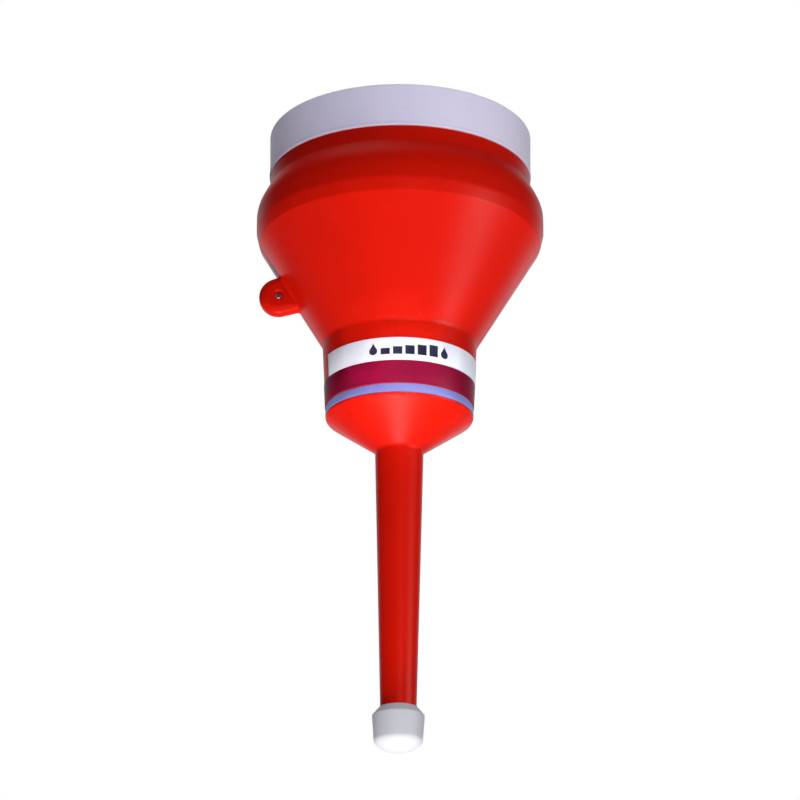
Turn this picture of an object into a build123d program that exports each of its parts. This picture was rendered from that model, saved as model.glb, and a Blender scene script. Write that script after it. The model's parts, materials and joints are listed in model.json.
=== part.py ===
from build123d import *
import os
from math import cos, degrees, hypot, radians, sin, tan

# Capped lubricant funnel. Millimetres, +Z up, axis of revolution on Z.
# The underside of the tip cap touches Z = 0 and the hanging lug points to -X.

# --- driving dimensions: lid and mouth ---------------------------------------
LID_RADIUS = 75.2
LID_HEIGHT = 25.3
LID_PLATE = 2.6
LID_SKIRT_WALL = 2.2
LID_RING_WIDTH = 7.0
LID_RING_HEIGHT = 1.0
LID_EDGE_ROUND = 1.1
PLUG_DEPTH = 5.6
PLUG_WALL = 1.8
PLUG_GAP = 0.5
LID_SEAL_THICK = 1.8
LID_SEAL_GAP = 0.1
LID_LIP_RISE = 0.8
LID_LIP_ROUND = 0.4
LID_LIP_DRAFT = 0.2
LID_STEP_LEAN = 1.0
LID_ROUND_SHARE = 0.3
PLUG_LEAD_HEIGHT = 1.2
PLUG_LEAD_WIDTH = 0.6

# --- driving dimensions: bowl ------------------------------------------------
WALL = 2.5
RIM_STEP = 0.6
RIM_HEIGHT = 8.0
MOUTH_CLEARANCE = 0.35
COLLAR_SWELL = 7.4
SHOULDER_HEIGHT = 18.7
COLLAR_HEIGHT = 7.55
COLLAR_DRAFT_HEIGHT = 7.5
COLLAR_DRAFT = 1.7
COLLAR_CREST_ROUND = 14.0
COLLAR_CORNER_ROUND = 5.7
CONE_HEIGHT = 61.5
NECK_SPREAD = 1.9
NECK_BOTTOM_RADIUS = 41.5
NECK_HEIGHT = 37.45
NECK_BLEND = 6.0
SHOULDER_MIDDLE_IN = 0.42
SHOULDER_MIDDLE_UP = 0.63
SHOULDER_END_LEAN = 0.35
SMALLEST_ROUND = 0.5
MOUTH_CHAMFER = 0.7

# --- driving dimensions: hanging lug -----------------------------------------
LUG_END_RADIUS = 11.0
LUG_TUCK = 2.1
LUG_HEIGHT_ON_CONE = 29.6
LUG_TOP_SLOPE = 20.0
LUG_UNDER_SLOPE = 15.0
LUG_THICKNESS = 11.0
LUG_EDGE_ROUND = 3.6
EYE_RADIUS = 2.0
EYE_EDGE_ROUND = 1.4

# --- driving dimensions: tapes on the neck -----------------------------------
TAPE_THICK = 0.4
BAND_HEIGHT = 12.8
LABEL_HEIGHT = 13.1
TAPE_SPACING = 0.2
TAPE_SEAM_GAP = 5.0
LABEL_START = 68.0
LABEL_ARC = 240.0

# --- driving dimensions: spout section ---------------------------------------
JOINT_SEAL_HEIGHT = 5.2
SPIGOT_HEIGHT = 22.0
SPIGOT_WALL = 3.3
SPIGOT_CLEARANCE = 0.3
SPIGOT_TOP_GAP = 1.5
SPIGOT_LEAD_HEIGHT = 1.2
SPIGOT_LEAD_WIDTH = 1.0
SEAL_INNER_GAP = 0.05
SEAL_PROUD = 0.1
O_RING_SHARE = 0.62
O_RING_SIDE_ROOM = 0.3
O_RING_SECTION = 1.1
O_RING_FIT = 0.05
O_RING_SQUEEZE = 0.1
SHOULDER_EDGE_HEIGHT = 1.2
SHOULDER_EDGE_ROUND = 1.0
LOWER_CONE_HEIGHT = 19.5
SPOUT_TOP_RADIUS = 13.4
SPOUT_CAP_RADIUS = 9.8
SPOUT_LENGTH = 147.9
SPOUT_WALL = 1.8
SPOUT_BLEND = 3.0
SPOUT_BLEND_POINTS = ((-0.15, -SPOUT_BLEND), (0.25, -0.6), (1.6, 1.1))
SPOUT_INNER_POINTS = ((1.5, 0.8), (0.0, -1.3))
SHOULDER_ROUND_POINTS = ((-0.6, 0.0), (-0.12, 0.45), (0.0, 1.0))
TIP_LEAD_HEIGHT = 0.8
TIP_LEAD_WIDTH = 0.5

# --- driving dimensions: tip cap ---------------------------------------------
CAP_DOME_HEIGHT = 7.5
CAP_SKIRT_HEIGHT = 12.9
CAP_SHOULDER_HEIGHT = 4.5
CAP_DOME_RADIUS = 13.5
CAP_SKIRT_RADIUS = 14.4
CAP_FLOOR = 5.0
CAP_SEAL_THICK = 1.5
CAP_CLEARANCE = 0.3
CAP_LINER_GAP = 0.25
CAP_LIP_WIDTH = 0.6
CAP_SKIRT_ROUND_WIDTH = 0.35
CAP_SKIRT_ROUND_HEIGHT = 0.7

# --- driving dimensions: strainer --------------------------------------------
STRAINER_RISE = 9.0
STRAINER_HEIGHT = 12.0
STRAINER_WALL = 2.2
STRAINER_CLEARANCE = 0.35
LEDGE_WIDTH = 5.5
LEDGE_THICK = 2.0
RIB_WIDTH = 2.6
RIB_DEPTH = 5.6
RIB_COUNT = 4
HUB_RADIUS = 6.0
MESH_THICK = 0.6
CLIP_HEIGHT = 2.4
CLIP_WIDTH = 3.4
PULL_STEM_RADIUS = 2.4
PULL_HEIGHT = 24.0
PULL_KNOB_RADIUS = 7.5
PULL_KNOB_HEIGHT = 7.0
PULL_KNOB_UNDERCUT = 2.0
PULL_KNOB_LOW_WIDTH = 1.0
PULL_KNOB_LOW_HEIGHT = 1.5
PULL_KNOB_TOP_ROUND = 2.0
PULL_FLANGE_THICK = 1.2
PULL_SLEEVE_START = 3.0
PULL_SLEEVE_WALL = 0.6
MESH_EDGE_GAP = 0.3
CLIP_CHAMFER = 1.0

# --- overshoot of cutting shapes past the faces they cut -----------------------
OVERSHOOT = 1.0

# --- running gap between flat faces that meet across a joint ------------------
FACE_GAP = 0.05

# --- directions in degrees, turned from +X about +Z ---------------------------
FRONT = 270.0
BACK = 90.0

# --- heights, stacked from the underside of the tip cap ----------------------
Z_CAP_SKIRT = CAP_DOME_HEIGHT
Z_CAP_SHOULDER = Z_CAP_SKIRT + CAP_SKIRT_HEIGHT
Z_CAP_TOP = Z_CAP_SHOULDER + CAP_SHOULDER_HEIGHT
Z_SPOUT_TIP = CAP_FLOOR + CAP_SEAL_THICK + FACE_GAP
Z_SPOUT_TOP = Z_CAP_TOP + SPOUT_LENGTH
Z_LOWER_CONE_TOP = Z_SPOUT_TOP + LOWER_CONE_HEIGHT
Z_SEAT = Z_LOWER_CONE_TOP + SHOULDER_EDGE_HEIGHT
Z_NECK_END = Z_SEAT + JOINT_SEAL_HEIGHT + FACE_GAP
Z_NECK_TOP = Z_NECK_END + NECK_HEIGHT
Z_CONE_TOP = Z_NECK_TOP + CONE_HEIGHT
Z_COLLAR_CREST = Z_CONE_TOP + COLLAR_DRAFT_HEIGHT
Z_COLLAR_HIGH = Z_COLLAR_CREST + COLLAR_HEIGHT
Z_RIM_LOW = Z_COLLAR_HIGH + SHOULDER_HEIGHT
Z_LEDGE = Z_RIM_LOW + RIM_HEIGHT
Z_LID_LOW = Z_LEDGE + FACE_GAP
Z_LID_TOP = Z_LID_LOW + LID_HEIGHT
Z_PLATE_TOP = Z_LID_TOP - LID_RING_HEIGHT
Z_PLATE_LOW = Z_PLATE_TOP - LID_PLATE
Z_MOUTH = Z_PLATE_LOW - LID_SEAL_THICK - FACE_GAP

# --- radii that follow from the fits -----------------------------------------
RIM_RADIUS = LID_RADIUS - RIM_STEP
COLLAR_RADIUS = RIM_RADIUS + COLLAR_SWELL
CONE_TOP_RADIUS = COLLAR_RADIUS - COLLAR_DRAFT
NECK_TOP_RADIUS = NECK_BOTTOM_RADIUS + NECK_SPREAD
NECK_SLOPE = NECK_SPREAD / NECK_HEIGHT
CONE_SLOPE = (CONE_TOP_RADIUS - NECK_TOP_RADIUS) / CONE_HEIGHT
DRAFT_SLOPE = COLLAR_DRAFT / COLLAR_DRAFT_HEIGHT
LUG_REACH = COLLAR_RADIUS - LUG_TUCK
LID_INNER = LID_RADIUS - LID_SKIRT_WALL
MOUTH_RADIUS = LID_INNER - MOUTH_CLEARANCE
MOUTH_INNER = MOUTH_RADIUS - WALL
SOCKET_RADIUS = NECK_BOTTOM_RADIUS - WALL
SPIGOT_RADIUS = SOCKET_RADIUS - SPIGOT_CLEARANCE
SPIGOT_INNER = SPIGOT_RADIUS - SPIGOT_WALL
Z_SPIGOT_TOP = Z_SEAT + SPIGOT_HEIGHT
Z_O_RING = Z_SEAT + SPIGOT_HEIGHT * O_RING_SHARE
O_RING_CENTRE = SOCKET_RADIUS - O_RING_FIT - O_RING_SECTION


def point(radius, height):
    """Put a point on the half plane that is revolved."""
    return Vector(radius, 0, height)


def chain(corners):
    """Straight edges from each corner to the next."""
    return [Line(start, end).edge() for start, end in zip(corners, corners[1:])]


def turned(edges, arc=360.0):
    """Revolve a closed chain of edges on the XZ plane into a solid."""
    face = Face(Wire(edges))
    return revolve(face, axis=Axis.Z, revolution_arc=arc)


def turned_points(points, arc=360.0):
    """Revolve a closed polygon given as (radius, height) pairs."""
    loop = Polyline(*[point(r, z) for r, z in points], close=True)
    return turned(loop.edges(), arc)


def cone_outer(height):
    """Outer radius of the straight cone at a height."""
    share = (height - Z_NECK_TOP) / CONE_HEIGHT
    return NECK_TOP_RADIUS + share * (CONE_TOP_RADIUS - NECK_TOP_RADIUS)


def neck_outer(height):
    """Outer radius of the tapered neck at a height."""
    share = (height - Z_NECK_END) / NECK_HEIGHT
    return NECK_BOTTOM_RADIUS + share * (NECK_TOP_RADIUS - NECK_BOTTOM_RADIUS)


def spout_outer(height):
    """Outer radius of the spout tube at a height."""
    share = (height - Z_CAP_TOP) / SPOUT_LENGTH
    return SPOUT_CAP_RADIUS + share * (SPOUT_TOP_RADIUS - SPOUT_CAP_RADIUS)


def cone_wall():
    """Radial thickness that gives the cone its wall measured square to it."""
    return WALL * hypot(1.0, CONE_SLOPE)


def offset_corner(radius, height, slope_below, slope_above, inset):
    """Corner of a wall's inner skin, square to both slopes that meet at the outer corner."""
    below = inset * hypot(1.0, slope_below)
    above = inset * hypot(1.0, slope_above)
    rise = (above - below) / (slope_above - slope_below)
    return point(radius + slope_below * rise - below, height + rise)


def bowl_side(inset, low, low_radius):
    """Edges of the bowl's side from its lower end up to the rim."""
    corners = [
        point(low_radius, low),
        offset_corner(NECK_TOP_RADIUS, Z_NECK_TOP, NECK_SLOPE, CONE_SLOPE, inset),
        offset_corner(CONE_TOP_RADIUS, Z_CONE_TOP, CONE_SLOPE, DRAFT_SLOPE, inset),
        offset_corner(COLLAR_RADIUS, Z_COLLAR_CREST, DRAFT_SLOPE, 0.0, inset),
        point(COLLAR_RADIUS - inset, Z_COLLAR_HIGH),
    ]
    rounds = [
        NECK_BLEND + inset,
        max(COLLAR_CORNER_ROUND - inset, SMALLEST_ROUND),
        COLLAR_CREST_ROUND - inset,
    ]
    side = FilletPolyline(*corners, radius=rounds)
    collar_high = corners[-1]
    rim_low = point(RIM_RADIUS - inset, Z_RIM_LOW)
    middle = point(
        COLLAR_RADIUS - inset - SHOULDER_MIDDLE_IN * (COLLAR_RADIUS - RIM_RADIUS),
        Z_COLLAR_HIGH + SHOULDER_MIDDLE_UP * SHOULDER_HEIGHT,
    )
    upright = Vector(0, 0, 1)
    leaning = Vector(-SHOULDER_END_LEAN, 0, 1)
    shoulder = Spline(collar_high, middle, rim_low, tangents=[upright, leaning])
    return list(side.edges()) + list(shoulder.edges())


def bowl_cavity():
    """Space inside the bowl, as one solid that also clears the socket."""
    socket_top = Z_SPIGOT_TOP + SPIGOT_TOP_GAP
    side = bowl_side(WALL, socket_top, SOCKET_RADIUS)
    rim_low = point(RIM_RADIUS - WALL, Z_RIM_LOW)
    mouth_low = point(MOUTH_INNER, Z_LEDGE - OVERSHOOT)
    mouth_top = point(MOUTH_INNER, Z_MOUTH + OVERSHOOT)
    axis_top = point(0, Z_MOUTH + OVERSHOOT)
    axis_low = point(0, Z_NECK_END - OVERSHOOT)
    socket_low = point(SOCKET_RADIUS, Z_NECK_END - OVERSHOOT)
    socket_high = point(SOCKET_RADIUS, socket_top)
    corners = [rim_low, mouth_low, mouth_top, axis_top, axis_low, socket_low, socket_high]
    return turned(side + chain(corners))


def bowl_outside():
    """Outer volume of the bowl before it is hollowed."""
    side = bowl_side(0.0, Z_NECK_END, NECK_BOTTOM_RADIUS)
    corners = [
        point(RIM_RADIUS, Z_RIM_LOW),
        point(RIM_RADIUS, Z_LEDGE),
        point(MOUTH_RADIUS, Z_LEDGE),
        point(MOUTH_RADIUS, Z_MOUTH - MOUTH_CHAMFER),
        point(MOUTH_RADIUS - MOUTH_CHAMFER, Z_MOUTH),
        point(0, Z_MOUTH),
        point(0, Z_NECK_END),
        point(NECK_BOTTOM_RADIUS, Z_NECK_END),
    ]
    return turned(side + chain(corners))


def lug_outline():
    """Side view of the hanging lug: a round end on a wedge rooted in the cone."""
    centre_x = -(LUG_REACH - LUG_END_RADIUS)
    centre_z = Z_NECK_TOP + LUG_HEIGHT_ON_CONE
    top = radians(LUG_TOP_SLOPE)
    under = radians(LUG_UNDER_SLOPE)
    top_x = centre_x - LUG_END_RADIUS * sin(top)
    top_z = centre_z + LUG_END_RADIUS * cos(top)
    low_x = centre_x + LUG_END_RADIUS * sin(under)
    low_z = centre_z - LUG_END_RADIUS * cos(under)
    root_x = -cone_outer(centre_z) + WALL * 3
    outline = Polyline(
        Vector(top_x, 0, top_z),
        Vector(root_x, 0, top_z + (root_x - top_x) * tan(top)),
        Vector(root_x, 0, low_z + (root_x - low_x) * tan(under)),
        Vector(low_x, 0, low_z),
        Vector(centre_x, 0, centre_z),
        close=True,
    )
    wedge = Face(Wire(outline.edges()))
    plane = Plane(origin=(centre_x, 0, centre_z), x_dir=(1, 0, 0), z_dir=(0, -1, 0))
    disc = plane * Circle(LUG_END_RADIUS)
    return centre_x, centre_z, wedge, disc


def lug_block():
    """Rounded lug with its eye, before it is trimmed to the cone."""
    centre_x, centre_z, wedge, disc = lug_outline()
    half = LUG_THICKNESS / 2
    block = extrude(wedge, amount=half, dir=(0, 1, 0), both=True)
    block += extrude(disc, amount=half, dir=(0, 1, 0), both=True)
    block = block.clean()
    sides = block.faces().filter_by(Axis.Y)
    block = fillet(sides.edges(), LUG_EDGE_ROUND)
    axis = Plane(origin=(centre_x, 0, centre_z), z_dir=(0, 1, 0))
    eye = axis * Cylinder(EYE_RADIUS, LUG_THICKNESS * 2)
    bored = block - eye
    rims = bored.faces().filter_by(Axis.Y).edges().filter_by(GeomType.CIRCLE)
    rims = rims.filter_by(lambda rim: abs(rim.radius - EYE_RADIUS) < FACE_GAP)
    return fillet(rims, EYE_EDGE_ROUND)


def make_bowl():
    """Bowl moulding: rim, collar, cone, neck and hanging lug in one piece."""
    body = bowl_outside() + lug_block()
    return body - bowl_cavity()


def make_lid():
    """Press-on lid: raised edge ring, plate, skirt and an inner plug ring."""
    plug_outer = MOUTH_INNER - PLUG_GAP
    plug_inner = plug_outer - PLUG_WALL
    z_plug = Z_PLATE_LOW - PLUG_DEPTH
    ring_inner = LID_RADIUS - LID_RING_WIDTH
    edge_middle = LID_ROUND_SHARE * LID_EDGE_ROUND
    return turned_points([
        (0, Z_PLATE_LOW),
        (plug_inner, Z_PLATE_LOW),
        (plug_inner, z_plug),
        (plug_outer - PLUG_LEAD_WIDTH, z_plug),
        (plug_outer, z_plug + PLUG_LEAD_HEIGHT),
        (plug_outer, Z_PLATE_LOW),
        (LID_INNER, Z_PLATE_LOW),
        (LID_INNER, Z_LID_LOW + LID_LIP_RISE),
        (LID_INNER + LID_LIP_ROUND, Z_LID_LOW),
        (LID_RADIUS - LID_LIP_ROUND, Z_LID_LOW),
        (LID_RADIUS - LID_LIP_DRAFT, Z_LID_LOW + LID_LIP_RISE),
        (LID_RADIUS, Z_LID_TOP - LID_EDGE_ROUND),
        (LID_RADIUS - edge_middle, Z_LID_TOP - edge_middle),
        (LID_RADIUS - LID_EDGE_ROUND, Z_LID_TOP),
        (ring_inner, Z_LID_TOP),
        (ring_inner - LID_STEP_LEAN, Z_PLATE_TOP),
        (0, Z_PLATE_TOP),
    ])


def make_lid_seal():
    """Foam ring that the bowl's rim presses against inside the lid."""
    inner = MOUTH_INNER - PLUG_GAP + LID_SEAL_GAP
    outer = LID_INNER - LID_SEAL_GAP
    z_low = Z_PLATE_LOW - LID_SEAL_THICK
    return turned_points([
        (inner, z_low), (outer, z_low), (outer, Z_PLATE_LOW), (inner, Z_PLATE_LOW),
    ])


def neck_tape(z_low, height, start, arc):
    """Thin tape part of the way round the neck, from an angle that starts at +X."""
    z_high = z_low + height
    tape = turned_points([
        (neck_outer(z_low), z_low),
        (neck_outer(z_low) + TAPE_THICK, z_low),
        (neck_outer(z_high) + TAPE_THICK, z_high),
        (neck_outer(z_high), z_high),
    ], arc)
    return tape.rotate(Axis.Z, start)


def make_id_band():
    """Crimson fluid-code band at the lower end of the neck, with its seam at the back."""
    gap = degrees(TAPE_SEAM_GAP / NECK_BOTTOM_RADIUS)
    return neck_tape(Z_NECK_END + TAPE_SPACING, BAND_HEIGHT, BACK + gap / 2, 360.0 - gap)


def make_label_tape():
    """White label strip above the crimson band, from the left of the front to the back."""
    z_low = Z_NECK_END + TAPE_SPACING + BAND_HEIGHT + TAPE_SPACING
    return neck_tape(z_low, LABEL_HEIGHT, FRONT - LABEL_START, LABEL_ARC)


def spout_inside(height):
    """Inner radius of the spout tube at a height."""
    return spout_outer(height) - SPOUT_WALL


def make_spout():
    """Spout section: spigot, seat, flat lower cone and tapered tube."""
    edge = SHOULDER_EDGE_ROUND
    shoulder = [
        (NECK_BOTTOM_RADIUS + edge * out, Z_LOWER_CONE_TOP + edge * up)
        for out, up in SHOULDER_ROUND_POINTS
    ]
    blend = [(SPOUT_TOP_RADIUS + out, Z_SPOUT_TOP + up) for out, up in SPOUT_BLEND_POINTS]
    cone_run = shoulder[0][0] - SPOUT_TOP_RADIUS
    cone_rise = LOWER_CONE_HEIGHT / cone_run
    z_inside = Z_SPOUT_TOP + WALL * hypot(1.0, cone_rise)
    inner_top = z_inside + cone_rise * (SPIGOT_INNER - SPOUT_TOP_RADIUS)
    inner_radius = spout_inside(Z_SPOUT_TOP)
    tip = spout_outer(Z_SPOUT_TIP)
    groove = O_RING_CENTRE - O_RING_SECTION + O_RING_SQUEEZE
    half = O_RING_SECTION + O_RING_SIDE_ROOM
    return turned_points([
        (spout_inside(Z_SPOUT_TIP), Z_SPOUT_TIP),
        (tip - TIP_LEAD_WIDTH, Z_SPOUT_TIP),
        (tip, Z_SPOUT_TIP + TIP_LEAD_HEIGHT),
        *blend,
        *shoulder,
        (NECK_BOTTOM_RADIUS, Z_SEAT),
        (SPIGOT_RADIUS, Z_SEAT),
        (SPIGOT_RADIUS, Z_O_RING - half),
        (groove, Z_O_RING - half),
        (groove, Z_O_RING + half),
        (SPIGOT_RADIUS, Z_O_RING + half),
        (SPIGOT_RADIUS, Z_SPIGOT_TOP - SPIGOT_LEAD_HEIGHT),
        (SPIGOT_RADIUS - SPIGOT_LEAD_WIDTH, Z_SPIGOT_TOP),
        (SPIGOT_INNER, Z_SPIGOT_TOP),
        (SPIGOT_INNER, inner_top),
        *[(inner_radius + out, z_inside + up) for out, up in SPOUT_INNER_POINTS],
    ])


def make_joint_seal():
    """Pale square-section ring squeezed between the neck and the seat."""
    return turned_points([
        (SPIGOT_RADIUS + SEAL_INNER_GAP, Z_SEAT),
        (NECK_BOTTOM_RADIUS + SEAL_PROUD, Z_SEAT),
        (NECK_BOTTOM_RADIUS + SEAL_PROUD, Z_SEAT + JOINT_SEAL_HEIGHT),
        (SPIGOT_RADIUS + SEAL_INNER_GAP, Z_SEAT + JOINT_SEAL_HEIGHT),
    ])


def make_o_ring():
    """Round-section ring in the spigot's groove."""
    return Pos(0, 0, Z_O_RING) * Torus(O_RING_CENTRE, O_RING_SECTION)


def make_tip_cap():
    """White cap over the spout's end, with a domed underside."""
    bore = spout_outer(Z_CAP_TOP) + CAP_CLEARANCE
    lip = bore + CAP_LIP_WIDTH
    start = point(0, 0)
    end = point(CAP_DOME_RADIUS, CAP_DOME_HEIGHT)
    share = cos(radians(45.0))
    middle = point(CAP_DOME_RADIUS * share, CAP_DOME_HEIGHT * (1 - share))
    dome = Spline(start, middle, end, tangents=[Vector(1, 0, 0), Vector(0, 0, 1)])
    round_radius = CAP_SKIRT_RADIUS - CAP_SKIRT_ROUND_WIDTH
    corners = [
        end,
        point(CAP_SKIRT_RADIUS, Z_CAP_SHOULDER),
        point(round_radius, Z_CAP_SHOULDER + CAP_SKIRT_ROUND_HEIGHT),
        point(lip, Z_CAP_TOP),
        point(bore, Z_CAP_TOP),
        point(bore, CAP_FLOOR),
        point(0, CAP_FLOOR),
        start,
    ]
    return turned([dome.edge()] + chain(corners))


def make_tip_cap_seal():
    """Soft liner disc at the bottom of the tip cap."""
    radius = spout_outer(Z_CAP_TOP) + CAP_LINER_GAP
    return turned_points([
        (0, CAP_FLOOR),
        (radius, CAP_FLOOR),
        (radius, CAP_FLOOR + CAP_SEAL_THICK),
        (0, CAP_FLOOR + CAP_SEAL_THICK),
    ])


def strainer_levels():
    """Heights and radii shared by the four strainer pieces."""
    z_low = Z_NECK_TOP + STRAINER_RISE
    z_high = z_low + STRAINER_HEIGHT
    inset = cone_wall() + STRAINER_CLEARANCE
    outer_low = cone_outer(z_low) - inset
    outer_high = cone_outer(z_high) - inset
    z_ledge = z_low + LEDGE_THICK
    return z_low, z_high, outer_low, outer_high, z_ledge


def make_strainer_frame():
    """Strainer frame: conical ring with a ledge, four ribs and a hub."""
    z_low, z_high, outer_low, outer_high, z_ledge = strainer_levels()
    ring = turned_points([
        (outer_low - STRAINER_WALL - LEDGE_WIDTH, z_low),
        (outer_low, z_low),
        (outer_high, z_high),
        (outer_high - STRAINER_WALL, z_high),
        (outer_low - STRAINER_WALL, z_ledge),
        (outer_low - STRAINER_WALL - LEDGE_WIDTH, z_ledge),
    ])
    reach = outer_low - STRAINER_WALL - LEDGE_WIDTH / 2
    spider = Pos(0, 0, z_ledge - RIB_DEPTH / 2) * Cylinder(HUB_RADIUS, RIB_DEPTH)
    for number in range(RIB_COUNT):
        rib = Pos(reach / 2, 0, z_ledge - RIB_DEPTH / 2) * Box(reach, RIB_WIDTH, RIB_DEPTH)
        spider += Rot(0, 0, number * 360 / RIB_COUNT) * rib
    seat = Pos(0, 0, z_ledge - RIB_DEPTH / 2) * Cylinder(PULL_STEM_RADIUS, RIB_DEPTH * 2)
    return ring + (spider - seat)


def mesh_radius():
    """Outer radius of the mesh disc and of the ring that clamps it."""
    _, _, outer_low, _, _ = strainer_levels()
    return outer_low - STRAINER_WALL - MESH_EDGE_GAP


def make_strainer_mesh():
    """Fine mesh disc on the frame's ledge, pierced for the pull."""
    z_ledge = strainer_levels()[4]
    return turned_points([
        (PULL_STEM_RADIUS, z_ledge),
        (mesh_radius(), z_ledge),
        (mesh_radius(), z_ledge + MESH_THICK),
        (PULL_STEM_RADIUS, z_ledge + MESH_THICK),
    ])


def make_strainer_clip():
    """Ring that clamps the mesh disc down on the frame's ledge."""
    z_low = strainer_levels()[4] + MESH_THICK
    inner = mesh_radius() - CLIP_WIDTH
    return turned_points([
        (inner, z_low),
        (mesh_radius(), z_low),
        (mesh_radius(), z_low + CLIP_HEIGHT),
        (inner + CLIP_CHAMFER, z_low + CLIP_HEIGHT),
        (inner, z_low + CLIP_HEIGHT - CLIP_CHAMFER),
    ])


def make_strainer_pull():
    """Pull knob on a stem, with a flange that holds the mesh's middle."""
    z_ledge = strainer_levels()[4]
    z_flange = z_ledge + MESH_THICK
    z_foot = z_ledge - RIB_DEPTH
    z_knob = z_flange + PULL_HEIGHT - PULL_KNOB_HEIGHT
    z_top = z_flange + PULL_HEIGHT
    sleeve = PULL_STEM_RADIUS + PULL_SLEEVE_WALL
    return turned_points([
        (0, z_foot),
        (PULL_STEM_RADIUS, z_foot),
        (PULL_STEM_RADIUS, z_flange),
        (HUB_RADIUS, z_flange),
        (HUB_RADIUS, z_flange + PULL_FLANGE_THICK),
        (sleeve, z_flange + PULL_SLEEVE_START),
        (sleeve, z_knob - PULL_KNOB_UNDERCUT),
        (PULL_KNOB_RADIUS - PULL_KNOB_LOW_WIDTH, z_knob),
        (PULL_KNOB_RADIUS, z_knob + PULL_KNOB_LOW_HEIGHT),
        (PULL_KNOB_RADIUS, z_top - PULL_KNOB_TOP_ROUND),
        (PULL_KNOB_RADIUS - PULL_KNOB_TOP_ROUND, z_top),
        (0, z_top),
    ])


PARTS = {
    "bowl": make_bowl,
    "lid": make_lid,
    "lid_seal": make_lid_seal,
    "label_tape": make_label_tape,
    "id_band": make_id_band,
    "joint_seal": make_joint_seal,
    "spout": make_spout,
    "spigot_o_ring": make_o_ring,
    "tip_cap": make_tip_cap,
    "tip_cap_seal": make_tip_cap_seal,
    "strainer_frame": make_strainer_frame,
    "strainer_mesh": make_strainer_mesh,
    "strainer_clip_ring": make_strainer_clip,
    "strainer_pull": make_strainer_pull,
}


def solid_of(shape):
    """Return the single solid of a shape."""
    solids = shape.solids()
    assert len(solids) == 1, len(solids)
    return solids[0]


def main():
    """Build every piece and write one STEP file for each."""
    os.makedirs("parts", exist_ok=True)
    for name, make in PARTS.items():
        export_step(solid_of(make()), "parts/" + name + ".step")


main()
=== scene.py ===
import json
import logging
import math
from dataclasses import dataclass
from enum import Enum
from typing import Callable, Optional, Sequence, Union

import bmesh
import bpy
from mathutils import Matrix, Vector


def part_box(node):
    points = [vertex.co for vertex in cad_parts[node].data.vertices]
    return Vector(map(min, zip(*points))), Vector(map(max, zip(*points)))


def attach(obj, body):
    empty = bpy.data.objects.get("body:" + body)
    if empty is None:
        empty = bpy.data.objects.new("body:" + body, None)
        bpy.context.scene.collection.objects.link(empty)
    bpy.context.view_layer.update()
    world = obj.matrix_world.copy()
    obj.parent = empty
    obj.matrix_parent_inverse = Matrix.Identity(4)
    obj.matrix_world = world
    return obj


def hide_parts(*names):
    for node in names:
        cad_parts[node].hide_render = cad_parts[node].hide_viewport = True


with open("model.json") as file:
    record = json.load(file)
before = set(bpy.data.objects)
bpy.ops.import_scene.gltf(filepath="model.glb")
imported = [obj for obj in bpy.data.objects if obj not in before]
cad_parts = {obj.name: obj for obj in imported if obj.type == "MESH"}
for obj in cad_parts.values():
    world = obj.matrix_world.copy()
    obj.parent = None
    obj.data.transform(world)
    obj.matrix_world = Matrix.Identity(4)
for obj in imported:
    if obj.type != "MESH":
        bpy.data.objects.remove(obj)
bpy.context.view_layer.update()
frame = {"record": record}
LOG = logging.getLogger("funnel")

Colour = tuple[float, float, float]
Outline = list[tuple[float, float]]
Value = Union["Socket", float]


def mm(length: float) -> float:
    """Turn millimetres into metres."""
    return length / 1000.0


# --- shader networks ----------------------------------------------------------


class Socket:
    """One output of a shader node, usable in Python arithmetic on values."""

    def __init__(self, net: "Network", link: bpy.types.NodeSocket) -> None:
        """Wrap a node's output.

        Args:
            net: Network that the node belongs to.
            link: The output itself.
        """
        self.net = net
        self.link = link

    def _math(self, operation: str, first: Value, second: Value) -> "Socket":
        """Add a Math node for two values.

        Args:
            operation: Math node operation.
            first: Left operand.
            second: Right operand.

        Returns:
            The node's result.
        """
        return self.net.node("ShaderNodeMath", {"operation": operation}, {0: first, 1: second})

    def __add__(self, other: Value) -> "Socket":
        """Return self + other."""
        return self._math("ADD", self, other)

    def __radd__(self, other: Value) -> "Socket":
        """Return other + self."""
        return self._math("ADD", other, self)

    def __sub__(self, other: Value) -> "Socket":
        """Return self - other."""
        return self._math("SUBTRACT", self, other)

    def __rsub__(self, other: Value) -> "Socket":
        """Return other - self."""
        return self._math("SUBTRACT", other, self)

    def __mul__(self, other: Value) -> "Socket":
        """Return self * other."""
        return self._math("MULTIPLY", self, other)

    def __rmul__(self, other: Value) -> "Socket":
        """Return other * self."""
        return self._math("MULTIPLY", other, self)

    def step(self, low: float, high: float) -> "Socket":
        """Ease from 0 at low to 1 at high.

        Args:
            low: Value that gives 0.
            high: Value that gives 1.

        Returns:
            The eased value.
        """
        settings = {"interpolation_type": "SMOOTHSTEP"}
        inputs = {"Value": self, "From Min": low, "From Max": high}
        return self.net.node("ShaderNodeMapRange", settings, inputs)


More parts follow.
